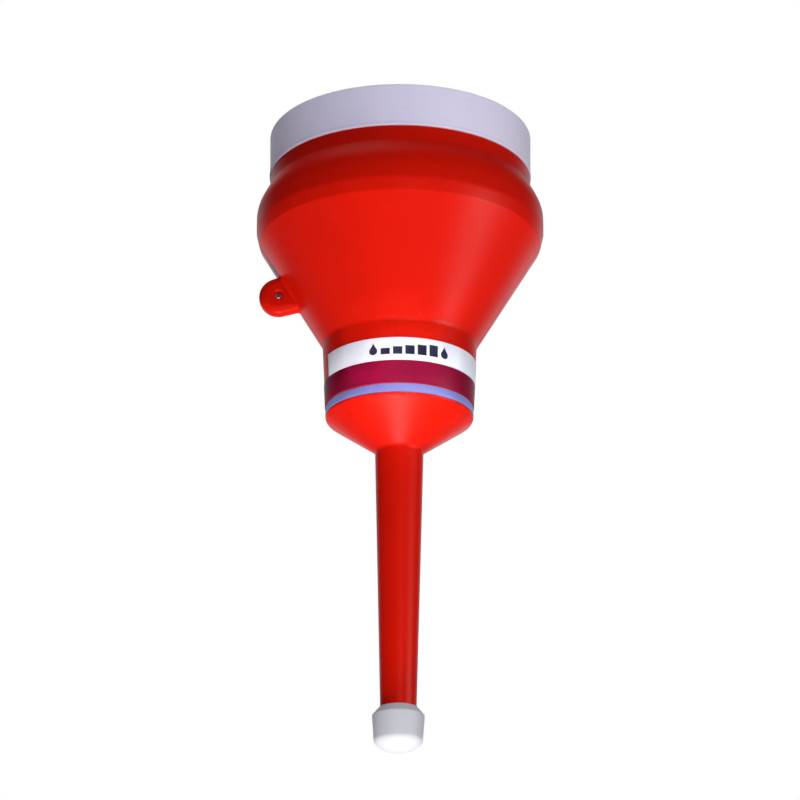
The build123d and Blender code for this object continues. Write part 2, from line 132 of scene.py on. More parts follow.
class Network:
    """A material's node tree, built from one method for every kind of node."""

    def __init__(self, tree: bpy.types.NodeTree) -> None:
        """Empty a node tree and start building in it.

        Args:
            tree: Node tree of a material or of the world.
        """
        self.tree = tree
        tree.nodes.clear()

    @classmethod
    def for_material(cls, name: str) -> tuple[bpy.types.Material, "Network"]:
        """Make a material with an empty tree.

        Args:
            name: Material name.

        Returns:
            The material and its network.
        """
        material = bpy.data.materials.new(name)
        material.use_nodes = True
        return material, cls(material.node_tree)

    def node(
        self,
        kind: str,
        settings: Optional[dict] = None,
        inputs: Optional[dict] = None,
        output: Union[int, str] = 0,
    ) -> Socket:
        """Add a node, set it up and wire it.

        Args:
            kind: Node type.
            settings: Node properties.
            inputs: Values or sockets, by input name or index.
            output: Which output to return.

        Returns:
            The chosen output.
        """
        made = self.tree.nodes.new(kind)
        for key, value in (settings or {}).items():
            setattr(made, key, value)
        for key, value in (inputs or {}).items():
            if isinstance(value, Socket):
                self.tree.links.new(value.link, made.inputs[key])
            else:
                made.inputs[key].default_value = value
        chosen = made.outputs[output] if len(made.outputs) else None
        return Socket(self, chosen)

    def place(self, stretch: Sequence[float] = (1.0, 1.0, 1.0)) -> Socket:
        """Give the position on the object, in metres, stretched per axis.

        Args:
            stretch: Factor for each axis.

        Returns:
            A vector socket.
        """
        where = self.node("ShaderNodeTexCoord", output="Object")
        inputs = {0: where, 1: tuple(stretch)}
        return self.node("ShaderNodeVectorMath", {"operation": "MULTIPLY"}, inputs)

    def noise(
        self,
        scale: float,
        detail: float = 2.0,
        stretch: Sequence[float] = (1.0, 1.0, 1.0),
        roughness: float = 0.5,
    ) -> Socket:
        """Add smooth noise around 0.5.

        Args:
            scale: Cells per metre.
            detail: Octaves of finer noise.
            stretch: Factor for each axis.
            roughness: Share of the finer octaves.

        Returns:
            The noise value.
        """
        inputs = {
            "Vector": self.place(stretch),
            "Scale": scale,
            "Detail": detail,
            "Roughness": roughness,
        }
        return self.node("ShaderNodeTexNoise", None, inputs)

    def mix(self, low: Union[Socket, Colour], high: Union[Socket, Colour], share: Value) -> Socket:
        """Blend two colours.

        Args:
            low: Colour at share 0.
            high: Colour at share 1.
            share: Blend factor.

        Returns:
            The blended colour.
        """
        ends = [c if isinstance(c, Socket) else (*c, 1.0) for c in (low, high)]
        inputs = {0: share, 6: ends[0], 7: ends[1]}
        return self.node("ShaderNodeMix", {"data_type": "RGBA"}, inputs, output=2)

    def bump(self, height: Socket, depth: float, strength: float = 1.0) -> Socket:
        """Turn a height into a shading normal.

        Args:
            height: Height value, 0 to 1.
            depth: What a height of 1 stands for, in metres.
            strength: Share of the effect.

        Returns:
            The bumped normal.
        """
        inputs = {"Height": height, "Distance": depth, "Strength": strength}
        return self.node("ShaderNodeBump", None, inputs)

    def surface(self, varying: dict, fixed: dict) -> None:
        """Finish the tree with a Principled shader.

        Args:
            varying: Inputs that change over the surface.
            fixed: Inputs that are the same all over.
        """
        shader = self.node("ShaderNodeBsdfPrincipled", None, {**fixed, **varying})
        self.node("ShaderNodeOutputMaterial", None, {"Surface": shader})


# --- finishes -----------------------------------------------------------------


@dataclass(frozen=True)
class MouldedPlastic:
    """Glossy moulded polyethylene with flow marks, fine peel and light scuffs."""

    name: str
    body: Colour
    deep: Colour
    scuffed: Colour
    roughness: float
    mottle: float = 0.5
    scuff: float = 0.35
    glow: float = 0.0
    shine: float = 0.5

    def build(self) -> bpy.types.Material:
        """Make the material."""
        material, net = Network.for_material(self.name)
        cloudy = net.noise(26.0, 3.0).step(0.35, 0.7)
        flow = net.noise(70.0, 2.0, (1.0, 1.0, 0.12)).step(0.4, 0.75)
        grain = net.noise(900.0, 2.0).step(0.3, 0.7)
        depth = (cloudy * 0.6 + flow * 0.25 + grain * 0.15) * self.mottle
        tone = net.mix(self.body, self.deep, depth)
        scratch = net.noise(130.0, 4.0, (1.0, 1.0, 4.5), 0.7).step(0.60, 0.72)
        patch = net.noise(14.0, 2.0).step(0.45, 0.65)
        worn = scratch * patch * self.scuff
        colour = net.mix(tone, self.scuffed, worn)
        peel = net.noise(420.0, 2.0) * 0.7 + net.noise(1900.0, 2.0) * 0.3
        roughness = cloudy * 0.05 + worn * 0.30 + grain * 0.04 + self.roughness
        varying = {
            "Base Color": colour,
            "Roughness": roughness,
            "Normal": net.bump(peel - worn * 0.25, mm(0.11), 0.55),
        }
        fixed = {
            "IOR": 1.5,
            "Specular IOR Level": self.shine,
            "Subsurface Weight": self.glow,
            "Subsurface Radius": (0.004, 0.003, 0.003),
            "Subsurface Scale": 0.5,
        }
        net.surface(varying, fixed)
        return material


@dataclass(frozen=True)
class TapeFilm:
    """Printed or coloured adhesive film, with faint ripples and dusty specks."""

    name: str
    body: Colour
    aged: Colour
    roughness: float

    def build(self) -> bpy.types.Material:
        """Make the material."""
        material, net = Network.for_material(self.name)
        cloudy = net.noise(55.0, 4.0).step(0.4, 0.75)
        speck = net.noise(1500.0, 1.0).step(0.66, 0.74)
        ripple = net.noise(160.0, 2.0, (1.0, 1.0, 0.25))
        fibre = net.noise(2400.0, 2.0)
        colour = net.mix(self.body, self.aged, cloudy * 0.35 + speck * 0.30)
        varying = {
            "Base Color": colour,
            "Roughness": cloudy * 0.08 + fibre * 0.06 + self.roughness,
            "Normal": net.bump(ripple * 0.8 + fibre * 0.2, mm(0.07), 0.6),
        }
        net.surface(varying, {"IOR": 1.48, "Specular IOR Level": 0.25})
        return material


@dataclass(frozen=True)
class SoftRubber:
    """Moulded soft seal with a powdery bloom and a fine grain."""

    name: str
    body: Colour
    bloom: Colour
    roughness: float = 0.55

    def build(self) -> bpy.types.Material:
        """Make the material."""
        material, net = Network.for_material(self.name)
        cloudy = net.noise(90.0, 3.0).step(0.4, 0.7)
        grain = net.noise(2200.0, 2.0)
        varying = {
            "Base Color": net.mix(self.body, self.bloom, cloudy * 0.4 + grain * 0.15),
            "Roughness": cloudy * 0.12 + self.roughness,
            "Normal": net.bump(grain, mm(0.05), 0.6),
        }
        net.surface(varying, {"IOR": 1.5, "Sheen Weight": 0.15})
        return material


@dataclass(frozen=True)
class CellFoam:
    """Closed-cell foam with its fine open-looking skin."""

    name: str
    body: Colour
    cells: Colour

    def build(self) -> bpy.types.Material:
        """Make the material."""
        material, net = Network.for_material(self.name)
        inputs = {"Vector": net.place(), "Scale": 1600.0}
        cell = net.node("ShaderNodeTexVoronoi", None, inputs).step(0.15, 0.6)
        cloudy = net.noise(80.0, 3.0).step(0.35, 0.7)
        varying = {
            "Base Color": net.mix(self.body, self.cells, (1 - cell) * 0.6 + cloudy * 0.2),
            "Roughness": cloudy * 0.08 + 0.82,
            "Normal": net.bump(cell, mm(0.18), 0.7),
        }
        net.surface(varying, {"IOR": 1.4})
        return material


@dataclass(frozen=True)
class MattNylon:
    """Spark-textured nylon of the strainer's mouldings."""

    name: str
    body: Colour
    rubbed: Colour

    def build(self) -> bpy.types.Material:
        """Make the material."""
        material, net = Network.for_material(self.name)
        spark = net.noise(1700.0, 3.0)
        cloudy = net.noise(40.0, 3.0).step(0.4, 0.7)
        varying = {
            "Base Color": net.mix(self.body, self.rubbed, cloudy * 0.35 + spark * 0.2),
            "Roughness": cloudy * 0.1 + spark * 0.1 + 0.42,
            "Normal": net.bump(spark, mm(0.09), 0.6),
        }
        net.surface(varying, {"IOR": 1.53})
        return material


@dataclass(frozen=True)
class DrawnWire:
    """Stainless wire with drawing lines and a slight warm tarnish."""

    name: str
    body: Colour
    tarnish: Colour

    def build(self) -> bpy.types.Material:
        """Make the material."""
        material, net = Network.for_material(self.name)
        cloudy = net.noise(60.0, 3.0).step(0.4, 0.75)
        line = net.noise(3000.0, 1.0)
        varying = {
            "Base Color": net.mix(self.body, self.tarnish, cloudy * 0.5),
            "Roughness": cloudy * 0.15 + line * 0.1 + 0.22,
            "Normal": net.bump(line, mm(0.02), 0.4),
        }
        net.surface(varying, {"Metallic": 1.0})
        return material


class Finish(Enum):
    """Every finish on the funnel, with the record's slot that it belongs to."""

    RED = ("red_moulding", MouldedPlastic(
        "red_polyethylene", (0.66, 0.008, 0.0015), (0.54, 0.005, 0.0015), (0.72, 0.10, 0.07), 0.30,
        0.45, 0.22, 0.0, 0.22,
    ))
    WHITE_LID = ("white_moulding", MouldedPlastic(
        "white_polyethylene_lid", (0.92, 0.86, 1.00), (0.82, 0.75, 0.94), (0.66, 0.62, 0.72), 0.40,
        0.5, 0.45, 0.12, 0.25,
    ))
    # The cap's white moulding is darkened to mid grey (0.60 against the lid's 0.92): painted shade,
    # a shaded copy of the same white.
    WHITE_CAP = ("white_moulding", MouldedPlastic(
        "white_polyethylene_cap_painted_shade", (0.60, 0.60, 0.61), (0.55, 0.55, 0.57), (0.46, 0.45, 0.47), 0.36,
        0.4, 0.40, 0.15, 0.25,
    ))
    LABEL = ("label_film", TapeFilm("label_vinyl", (0.93, 0.96, 1.0), (0.80, 0.83, 0.90), 0.38))
    INK = ("label_film", TapeFilm("label_ink", (0.012, 0.014, 0.05), (0.05, 0.05, 0.09), 0.45))
    BAND = ("band_film", TapeFilm("band_vinyl", (0.25, 0.003, 0.028), (0.20, 0.003, 0.032), 0.34))
    PALE_SEAL = ("seal_pale", SoftRubber("pale_seal", (0.22, 0.28, 0.68), (0.29, 0.35, 0.70)))
    FOAM = ("seal_foam", CellFoam("closed_cell_foam", (0.78, 0.78, 0.80), (0.50, 0.50, 0.52)))
    BLACK_RUBBER = ("seal_rubber", SoftRubber("nitrile", (0.018, 0.018, 0.02), (0.06, 0.06, 0.065)))
    NYLON = ("strainer_plastic", MattNylon(
        "strainer_nylon", (0.02, 0.02, 0.022), (0.07, 0.07, 0.07),
    ))
    WIRE = ("mesh_wire", DrawnWire("strainer_wire", (0.66, 0.65, 0.62), (0.50, 0.44, 0.33)))

    @property
    def slot(self) -> str:
        """Material slot of the record."""
        return self.value[0]

    def material(self) -> bpy.types.Material:
        """Return the finish's material, made on first use."""
        recipe = self.value[1]
        return bpy.data.materials.get(recipe.name) or recipe.build()


# --- outlines and turned meshes -----------------------------------------------


@dataclass(frozen=True)
class Corner:
    """One corner of a turned outline, rounded to a blend radius."""

    radius: float
    height: float
    blend: float = 0.0


def rounded(corners: Sequence[Corner], steps: int = 6) -> Outline:
    """Round the corners of a closed outline with arcs.

    Args:
        corners: Corners in order round the section.
        steps: Chords for each arc.

    Returns:
        Radius and height of every point.
    """
    points: Outline = []
    count = len(corners)
    for index, corner in enumerate(corners):
        here = Vector((corner.radius, corner.height))
        if corner.blend <= 0.0:
            points.append((here.x, here.y))
            continue
        before = corners[index - 1]
        after = corners[(index + 1) % count]
        back = (Vector((before.radius, before.height)) - here).normalized()
        ahead = (Vector((after.radius, after.height)) - here).normalized()
        half = math.acos(max(-1.0, min(1.0, back.dot(ahead)))) / 2
        reach = corner.blend / math.tan(half)
        centre = here + (back + ahead).normalized() * (corner.blend / math.sin(half))
        start = here + back * reach - centre
        sweep = math.pi - 2 * half
        turn = math.copysign(sweep, back.x * ahead.y - back.y * ahead.x) * -1
        for step in range(steps + 1):
            angle = turn * step / steps
            spun = Vector((
                start.x * math.cos(angle) - start.y * math.sin(angle),
                start.x * math.sin(angle) + start.y * math.cos(angle),
            ))
            points.append((centre.x + spun.x, centre.y + spun.y))
    return points


def curve(
    start: Corner, lead: Corner, follow: Corner, end: Corner, steps: int = 14
) -> list[Corner]:
    """Sample a cubic curve between two corners, ends included.

    Args:
        start: First point.
        lead: Handle of the first point.
        follow: Handle of the last point.
        end: Last point.
        steps: Chords along the curve.

    Returns:
        Points as corners with no blend.
    """
    result = []
    for step in range(steps + 1):
        t = step / steps
        weights = ((1 - t) ** 3, 3 * t * (1 - t) ** 2, 3 * t * t * (1 - t), t ** 3)
        knots = (start, lead, follow, end)
        result.append(Corner(
            sum(w * k.radius for w, k in zip(weights, knots)),
            sum(w * k.height for w, k in zip(weights, knots)),
        ))
    return result


@dataclass(frozen=True)
class Seam:
    """Fine parting line left by the two halves of the mould."""

    angle: float
    half_width: float = math.radians(0.32)
    height: float = mm(0.14)


def turn_angles(segments: int, seams: Sequence[Seam]) -> list[tuple[float, float]]:
    """List the directions of a turned mesh, with three close ones at each seam.

    Args:
        segments: Even divisions of the turn.
        seams: Parting lines.

    Returns:
        Angle and outward offset of each direction, in order.
    """
    spaced = [(2 * math.pi * i / segments, 0.0) for i in range(segments)]
    for seam in seams:
        clear = seam.half_width * 1.6
        spaced = [
            item for item in spaced
            if abs(math.remainder(item[0] - seam.angle, 2 * math.pi)) > clear
        ]
        spaced.append((seam.angle - seam.half_width, 0.0))
        spaced.append((seam.angle, seam.height))
        spaced.append((seam.angle + seam.half_width, 0.0))
    return sorted((angle % (2 * math.pi), lift) for angle, lift in spaced)


def turned(
    outline: Outline,
    segments: int = 192,
    seams: Sequence[Seam] = (),
    seam_from: float = 0.0,
) -> bmesh.types.BMesh:
    """Turn a closed outline round the Z axis.

    Args:
        outline: Radius and height of each point of the section.
        segments: Divisions of the turn.
        seams: Parting lines on the outer skin.
        seam_from: Share of each point's radius to the largest one, above which a seam lifts it.

    Returns:
        The mesh.
    """
    made = bmesh.new()
    directions = turn_angles(segments, seams)
    widest = max(radius for radius, _ in outline)
    rings: list[list[bmesh.types.BMVert]] = []
    for radius, height in outline:
        if radius < 1e-7:
            rings.append([made.verts.new((0.0, 0.0, height))])
            continue
        ring = []
        for angle, lift in directions:
            reach = min(radius + (lift if radius > seam_from * widest else 0.0), widest)
            ring.append(made.verts.new((reach * math.cos(angle), reach * math.sin(angle), height)))
        rings.append(ring)
    for lower, upper in zip(rings, rings[1:] + rings[:1]):
        bridge(made, lower, upper)
    bmesh.ops.recalc_face_normals(made, faces=made.faces)
    return made


def bridge(
    made: bmesh.types.BMesh, lower: list[bmesh.types.BMVert], upper: list[bmesh.types.BMVert]
) -> None:
    """Join two rings with faces; a ring of one vertex is a point on the axis.

    Args:
        made: Mesh that holds both rings.
        lower: First ring.
        upper: Second ring.
    """
    if len(lower) == 1 and len(upper) == 1:
        return
    count = max(len(lower), len(upper))
    for i in range(count):
        j = (i + 1) % count
        if len(lower) == 1:
            made.faces.new((lower[0], upper[j], upper[i]))
        elif len(upper) == 1:
            made.faces.new((lower[i], lower[j], upper[0]))
        else:
            made.faces.new((lower[i], lower[j], upper[j], upper[i]))


def tube_along(
    made: bmesh.types.BMesh, path: Sequence[Vector], radius: float, sides: int
) -> None:
    """Add a round wire along a path, with its ends capped.

    Args:
        made: Mesh to add to.
        path: Points of the wire's middle.
        radius: Wire radius.
        sides: Flats round the wire.
    """
    rings = []
    last = len(path) - 1
    for index, here in enumerate(path):
        before = path[index - 1] if index else here
        after = path[index + 1] if index < last else here
        along = (after - before).normalized()
        side = along.cross(Vector((0, 0, 1)))
        side = side.normalized() if side.length > 1e-6 else Vector((1, 0, 0))
        up = side.cross(along).normalized()
        ring = []
        for k in range(sides):
            angle = 2 * math.pi * k / sides
            outward = side * math.cos(angle) + up * math.sin(angle)
            ring.append(made.verts.new(here + outward * radius))
        rings.append(ring)
    for first, second in zip(rings, rings[1:]):
        bridge(made, first, second)
    made.faces.new(list(reversed(rings[0])))
    made.faces.new(rings[-1])


def add_rib(
    made: bmesh.types.BMesh, section: Outline, angle: float, reaches: Sequence[float], level: float
) -> None:
    """Add a straight rib that runs outwards from near the axis, with flat ends.

    Args:
        made: Mesh to add to.
        section: Place across and height above the level of each point of its section.
        angle: Direction in which it runs.
        reaches: Distance of its two ends from the axis.
        level: Height of the section's zero.
    """
    along = Vector((math.cos(angle), math.sin(angle), 0.0))
    side = Vector((-along.y, along.x, 0.0))
    ends = []
    for reach in reaches:
        base = along * reach + Vector((0.0, 0.0, level))
        ends.append([made.verts.new(base + side * a + Vector((0, 0, d))) for a, d in section])
    bridge(made, ends[0], ends[1])
    made.faces.new(list(reversed(ends[0])))
    made.faces.new(ends[1])


def absorb(target: bmesh.types.BMesh, extra: bmesh.types.BMesh) -> None:
    """Move one mesh into another.

    Args:
        target: Mesh that grows.
        extra: Mesh that is used up.
    """
    keep = bpy.data.meshes.new("scratch")
    extra.to_mesh(keep)
    extra.free()
    target.from_mesh(keep)
    bpy.data.meshes.remove(keep)


def as_piece(
    made: bmesh.types.BMesh,
    name: str,
    finish: Finish,
    body: str,
    node: Optional[str] = None,
    crease: float = 38.0,
) -> bpy.types.Object:
    """Turn a mesh into a finished piece that rides on its body.

    Args:
        made: Mesh, used up.
        name: Piece name.
        finish: Its finish.
        body: Body that it rides on.
        node: CAD node that it stands for, if any.
        crease: Angle in degrees above which an edge stays sharp.

    Returns:
        The piece.
    """
    mesh = bpy.data.meshes.new(name)
    made.to_mesh(mesh)
    made.free()
    mesh.polygons.foreach_set("use_smooth", [True] * len(mesh.polygons))
    mesh.set_sharp_from_angle(angle=math.radians(crease))
    mesh.materials.append(finish.material())
    piece = bpy.data.objects.new(name, mesh)
    bpy.context.scene.collection.objects.link(piece)
    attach(piece, body)
    if node:
        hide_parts(node)
    LOG.info("%s: %d faces on %s", name, len(mesh.polygons), body)
    return piece


def low(node: str) -> float:
    """Return the height of a CAD node's lowest point."""
    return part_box(node)[0].z


def high(node: str) -> float:
    """Return the height of a CAD node's highest point."""
    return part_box(node)[1].z


MOULD_SEAMS = (Seam(math.pi), Seam(0.0))


# --- bowl ---------------------------------------------------------------------


@dataclass
class Lug:
    """Hanging lug: a thick round-ended ear with a flared eye, rooted in the cone."""

    eye: Vector
    eye_radius: float
    half_thickness: float
    end_radius: float = mm(11.0)
    edge_round: float = mm(3.8)
    eye_round: float = mm(1.4)
    crown: float = mm(0.4)
    top_slope: float = math.radians(20.0)
    under_slope: float = math.radians(15.0)
    bury: float = mm(1.3)
    blend: float = mm(2.2)

    def reach(self, angle: float, root: Optional[tuple[float, float]]) -> float:
        """Distance from the eye's axis to the lug's side outline.

        Args:
            angle: Direction in the XZ plane, from +X towards +Z.
            root: Direction and distance of the root plane, or None for no root.

        Returns:
            The distance, very large where the lug runs on without end.
        """
        turn = angle % (2 * math.pi)
        if math.pi / 2 + self.top_slope <= turn <= 1.5 * math.pi + self.under_slope:
            return self.end_radius
        planes = [
            (math.pi / 2 + self.top_slope, self.end_radius),
            (-math.pi / 2 + self.under_slope, self.end_radius),
        ]
        if root:
            planes.append(root)
        best = 1.0
        for direction, distance in planes:
            facing = math.cos(turn - direction)
            if facing > 1e-6:
                best = min(best, distance / facing)
        return best

    def half_width(self, distance: float, outer: float) -> float:
        """Half thickness of the lug at a distance from the eye's axis.

        Args:
            distance: Distance from the eye's axis.
            outer: Distance to the outline in the same direction.

        Returns:
            Half thickness, or a negative number outside.
        """
        edge = outer - self.edge_round
        if distance > outer:
            return -1.0
        if distance <= edge:
            return self.half_thickness - self.crown * min(1.0, distance / self.end_radius) ** 2
        drop = self.edge_round ** 2 - (distance - edge) ** 2
        return self.half_thickness - self.crown - self.edge_round + math.sqrt(max(drop, 0.0))

    def section(self, outer: float) -> Outline:
        """Closed section from the eye out to the edge: distance and thickness.

        Args:
            outer: Distance to the outline.

        Returns:
            Distance from the eye's axis and place across the thickness.
        """
        half = self.half_thickness
        upper: Outline = []
        turns = 7
        for step in range(turns):
            angle = math.pi / 2 * step / (turns - 1)
            upper.append((
                self.eye_radius + self.eye_round * (1 - math.cos(angle)),
                half - self.eye_round * (1 - math.sin(angle)),
            ))
        edge = outer - self.edge_round
        inner = self.eye_radius + self.eye_round
        for step in range(1, 5):
            distance = inner + (edge - inner) * step / 4
            upper.append((distance, self.half_width(distance, outer)))
        middle = half - self.crown - self.edge_round
        for step in range(1, 9):
            angle = math.pi / 2 * step / 8
            across = middle + self.edge_round * math.cos(angle)
            upper.append((edge + self.edge_round * math.sin(angle), across))
        return upper + [(distance, -across) for distance, across in reversed(upper)]

    def mesh(self, root: tuple[float, float], around: int = 120) -> bmesh.types.BMesh:
        """Build the ear as one skin round the eye.

        Args:
            root: Direction and distance of the buried root plane.
            around: Divisions round the eye.

        Returns:
            The mesh.
        """
        made = bmesh.new()
        rings = []
        for index in range(around):
            angle = 2 * math.pi * index / around
            ring = []
            for distance, across in self.section(self.reach(angle, root)):
                x = self.eye.x + distance * math.cos(angle)
                z = self.eye.z + distance * math.sin(angle)
                ring.append(made.verts.new((x, across, z)))
            rings.append(ring)
        for first, second in zip(rings, rings[1:] + rings[:1]):
            bridge(made, first, second)
        bmesh.ops.recalc_face_normals(made, faces=made.faces)
        return made

    def holds(self, place: Vector) -> bool:
        """Tell whether a place is inside the lug, taken as running on inwards."""
        across = place - self.eye
        distance = math.hypot(across.x, across.z)
        outer = self.reach(math.atan2(across.z, across.x), None)
        return abs(place.y) < self.half_width(distance, outer)

    def root_blend(self, wall: Callable[[float], float], middle: float) -> bmesh.types.BMesh:
        """Build the fillet where the lug grows out of the cone.

        Args:
            wall: Outer radius of the cone at a height.
            middle: Height about halfway up the root.

        Returns:
            The mesh.
        """
        made = bmesh.new()
        around, steps = 96, 6
        nearest, furthest, halvings = mm(1.0), mm(30.0), 30

        def on_cone(reach: float, angle: float, proud: float) -> Vector:
            """Point on the cone, a distance from the root's middle."""
            y = reach * math.cos(angle)
            z = middle + reach * math.sin(angle)
            radius = wall(z) + proud
            return Vector((-math.sqrt(radius ** 2 - y ** 2), y, z))

        def edge(angle: float, proud: float) -> float:
            """Distance at which the lug's skin is met."""
            inside, outside = nearest, furthest
            for _ in range(halvings):
                trial = (inside + outside) / 2
                if self.holds(on_cone(trial, angle, proud)):
                    inside = trial
                else:
                    outside = trial
            return inside

        rings = []
        for index in range(around):
            angle = 2 * math.pi * index / around
            corner = edge(angle, 0.0)
            ends = (
                on_cone(edge(angle, self.blend) - mm(0.05), angle, self.blend),
                on_cone(corner, angle, 0.0),
                on_cone(corner + self.blend, angle, mm(-0.02)),
            )
            ring = []
            for step in range(steps + 1):
                t = step / steps
                spot = ends[0] * (1 - t) ** 2 + ends[1] * 2 * t * (1 - t) + ends[2] * t * t
                ring.append(made.verts.new(spot))
            rings.append(ring)
        for first, second in zip(rings, rings[1:] + rings[:1]):
            for k in range(steps):
                made.faces.new((first[k], first[k + 1], second[k + 1], second[k]))
        return made


@dataclass
class Bowl:
    """Red bowl moulding: mouth, rim, collar, cone, short neck and lug."""

    wall: float = mm(2.5)
    mouth_radius: float = mm(72.65)
    rim_radius: float = mm(74.6)
    rim_height: float = mm(8.0)
    shoulder_height: float = mm(18.7)
    collar_height: float = mm(7.55)
    collar_draft: float = mm(1.7)
    draft_height: float = mm(7.5)
    cone_height: float = mm(61.5)
    neck_top: float = mm(43.4)
    neck_bottom: float = mm(41.5)
    socket_height: float = mm(18.25)
    neck_blend: float = mm(6.0)
    corner_blend: float = mm(5.0)
    crest_blend: float = mm(14.0)
    lid_gap: float = mm(0.05)
    bead_depth: float = mm(9.0)
    bead_half: float = mm(1.0)
    bead_height: float = mm(0.2)
    lip_round: float = mm(0.9)
    base_round: float = mm(0.5)
    root_lift: float = mm(1.5)

    def __post_init__(self) -> None:
        """Work out the heights and radii that follow from the frame."""
        lowest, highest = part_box("bowl")
        self.collar_radius = highest.x
        self.base = lowest.z
        self.mouth = highest.z
        self.ledge = low("lid") - self.lid_gap
        self.rim_low = self.ledge - self.rim_height
        self.collar_top = self.rim_low - self.shoulder_height
        self.crest = self.collar_top - self.collar_height
        self.cone_top = self.crest - self.draft_height
        self.cone_low = self.cone_top - self.cone_height
        self.cone_radius = self.collar_radius - self.collar_draft
        self.spread = (self.cone_radius - self.neck_top) / self.cone_height
        self.draft = self.collar_draft / self.draft_height
        self.flare = (self.neck_top - self.neck_bottom) / (self.cone_low - self.base)

    def cone_at(self, height: float) -> float:
        """Outer radius of the straight cone at a height."""
        return self.neck_top + self.spread * (height - self.cone_low)

    @staticmethod
    def skin_corner(outer: Corner, below: float, above: float, inset: float) -> Corner:
        """Move a corner inwards, square to both slopes that meet at it.

        Args:
            outer: Corner of the outer skin.
            below: Radius gained per height below it.
            above: Radius gained per height above it.
            inset: How far inside the outer skin.

        Returns:
            The corner of the inner skin, with its blend grown or shrunk to match.
        """
        lower = inset * math.hypot(1.0, below)
        upper = inset * math.hypot(1.0, above)
        rise = (upper - lower) / (above - below)
        growth = inset if above > below else -inset
        radius = outer.radius + below * rise - lower
        return Corner(radius, outer.height + rise, max(outer.blend + growth, mm(0.5)))

    def side(self, inset: float, base: Corner) -> list[Corner]:
        """Corners of the bowl's side, from its low end up to the rim.

        Args:
            inset: How far inside the outer skin.
            base: Low end.

        Returns:
            The corners, going up.
        """
        swell = self.collar_radius - self.rim_radius
        outer = self.collar_radius - inset
        neck = Corner(self.neck_top, self.cone_low, self.neck_blend)
        corner = Corner(self.cone_radius, self.cone_top, self.corner_blend)
        crest = Corner(self.collar_radius, self.crest, self.crest_blend)
        return [
            base,
            self.skin_corner(neck, self.flare, self.spread, inset),
            self.skin_corner(corner, self.spread, self.draft, inset),
            self.skin_corner(crest, self.draft, 0.0, inset),
            *curve(
                Corner(outer, self.collar_top),
                Corner(outer, self.collar_top + 0.40 * self.shoulder_height),
                Corner(outer - 0.62 * swell, self.collar_top + 0.66 * self.shoulder_height),
                Corner(outer - swell, self.rim_low),
            ),
        ]

    def outline(self) -> Outline:
        """Closed section of the whole moulding."""
        inner_mouth = self.mouth_radius - self.wall
        socket = self.neck_bottom - self.wall
        bead = self.mouth - self.bead_depth
        outer = self.side(0.0, Corner(self.neck_bottom, self.base, self.base_round))
        lip = [
            Corner(self.rim_radius, self.ledge, mm(0.7)),
            Corner(self.mouth_radius, self.ledge, mm(0.3)),
            Corner(self.mouth_radius, bead - self.bead_half),
            Corner(self.mouth_radius + self.bead_height, bead, mm(0.4)),
            Corner(self.mouth_radius, bead + self.bead_half),
            Corner(self.mouth_radius, self.mouth, self.lip_round),
            Corner(inner_mouth, self.mouth, self.lip_round),
            Corner(inner_mouth, self.ledge - mm(1.0), mm(2.0)),
        ]
        inner = self.side(self.wall, Corner(socket, self.base + self.socket_height))
        foot = Corner(socket, self.base, self.base_round)
        return rounded([*outer, *lip, *reversed(inner), foot])

    def make(self) -> bpy.types.Object:
        """Build the moulding with its lug as one piece."""
        made = turned(self.outline(), 224, MOULD_SEAMS, 0.0)
        eye = next(m for m in frame["record"]["mounts"] if m["name"] == "hanging_eye")
        size = eye["dims"]
        half_thickness = mm(size["length_mm"]) / 2 + Lug.eye_round
        lug = Lug(Vector(eye["pos_m"]), mm(size["r_mm"]), half_thickness)
        gap = -lug.eye.x - self.cone_at(lug.eye.z)
        slant = math.hypot(1.0, self.spread)
        root = (math.atan(self.spread), gap / slant + lug.bury)
        absorb(made, lug.mesh(root))
        absorb(made, lug.root_blend(self.cone_at, lug.eye.z + self.root_lift))
        return as_piece(made, "bowl_shell", Finish.RED, "bowl", "bowl")


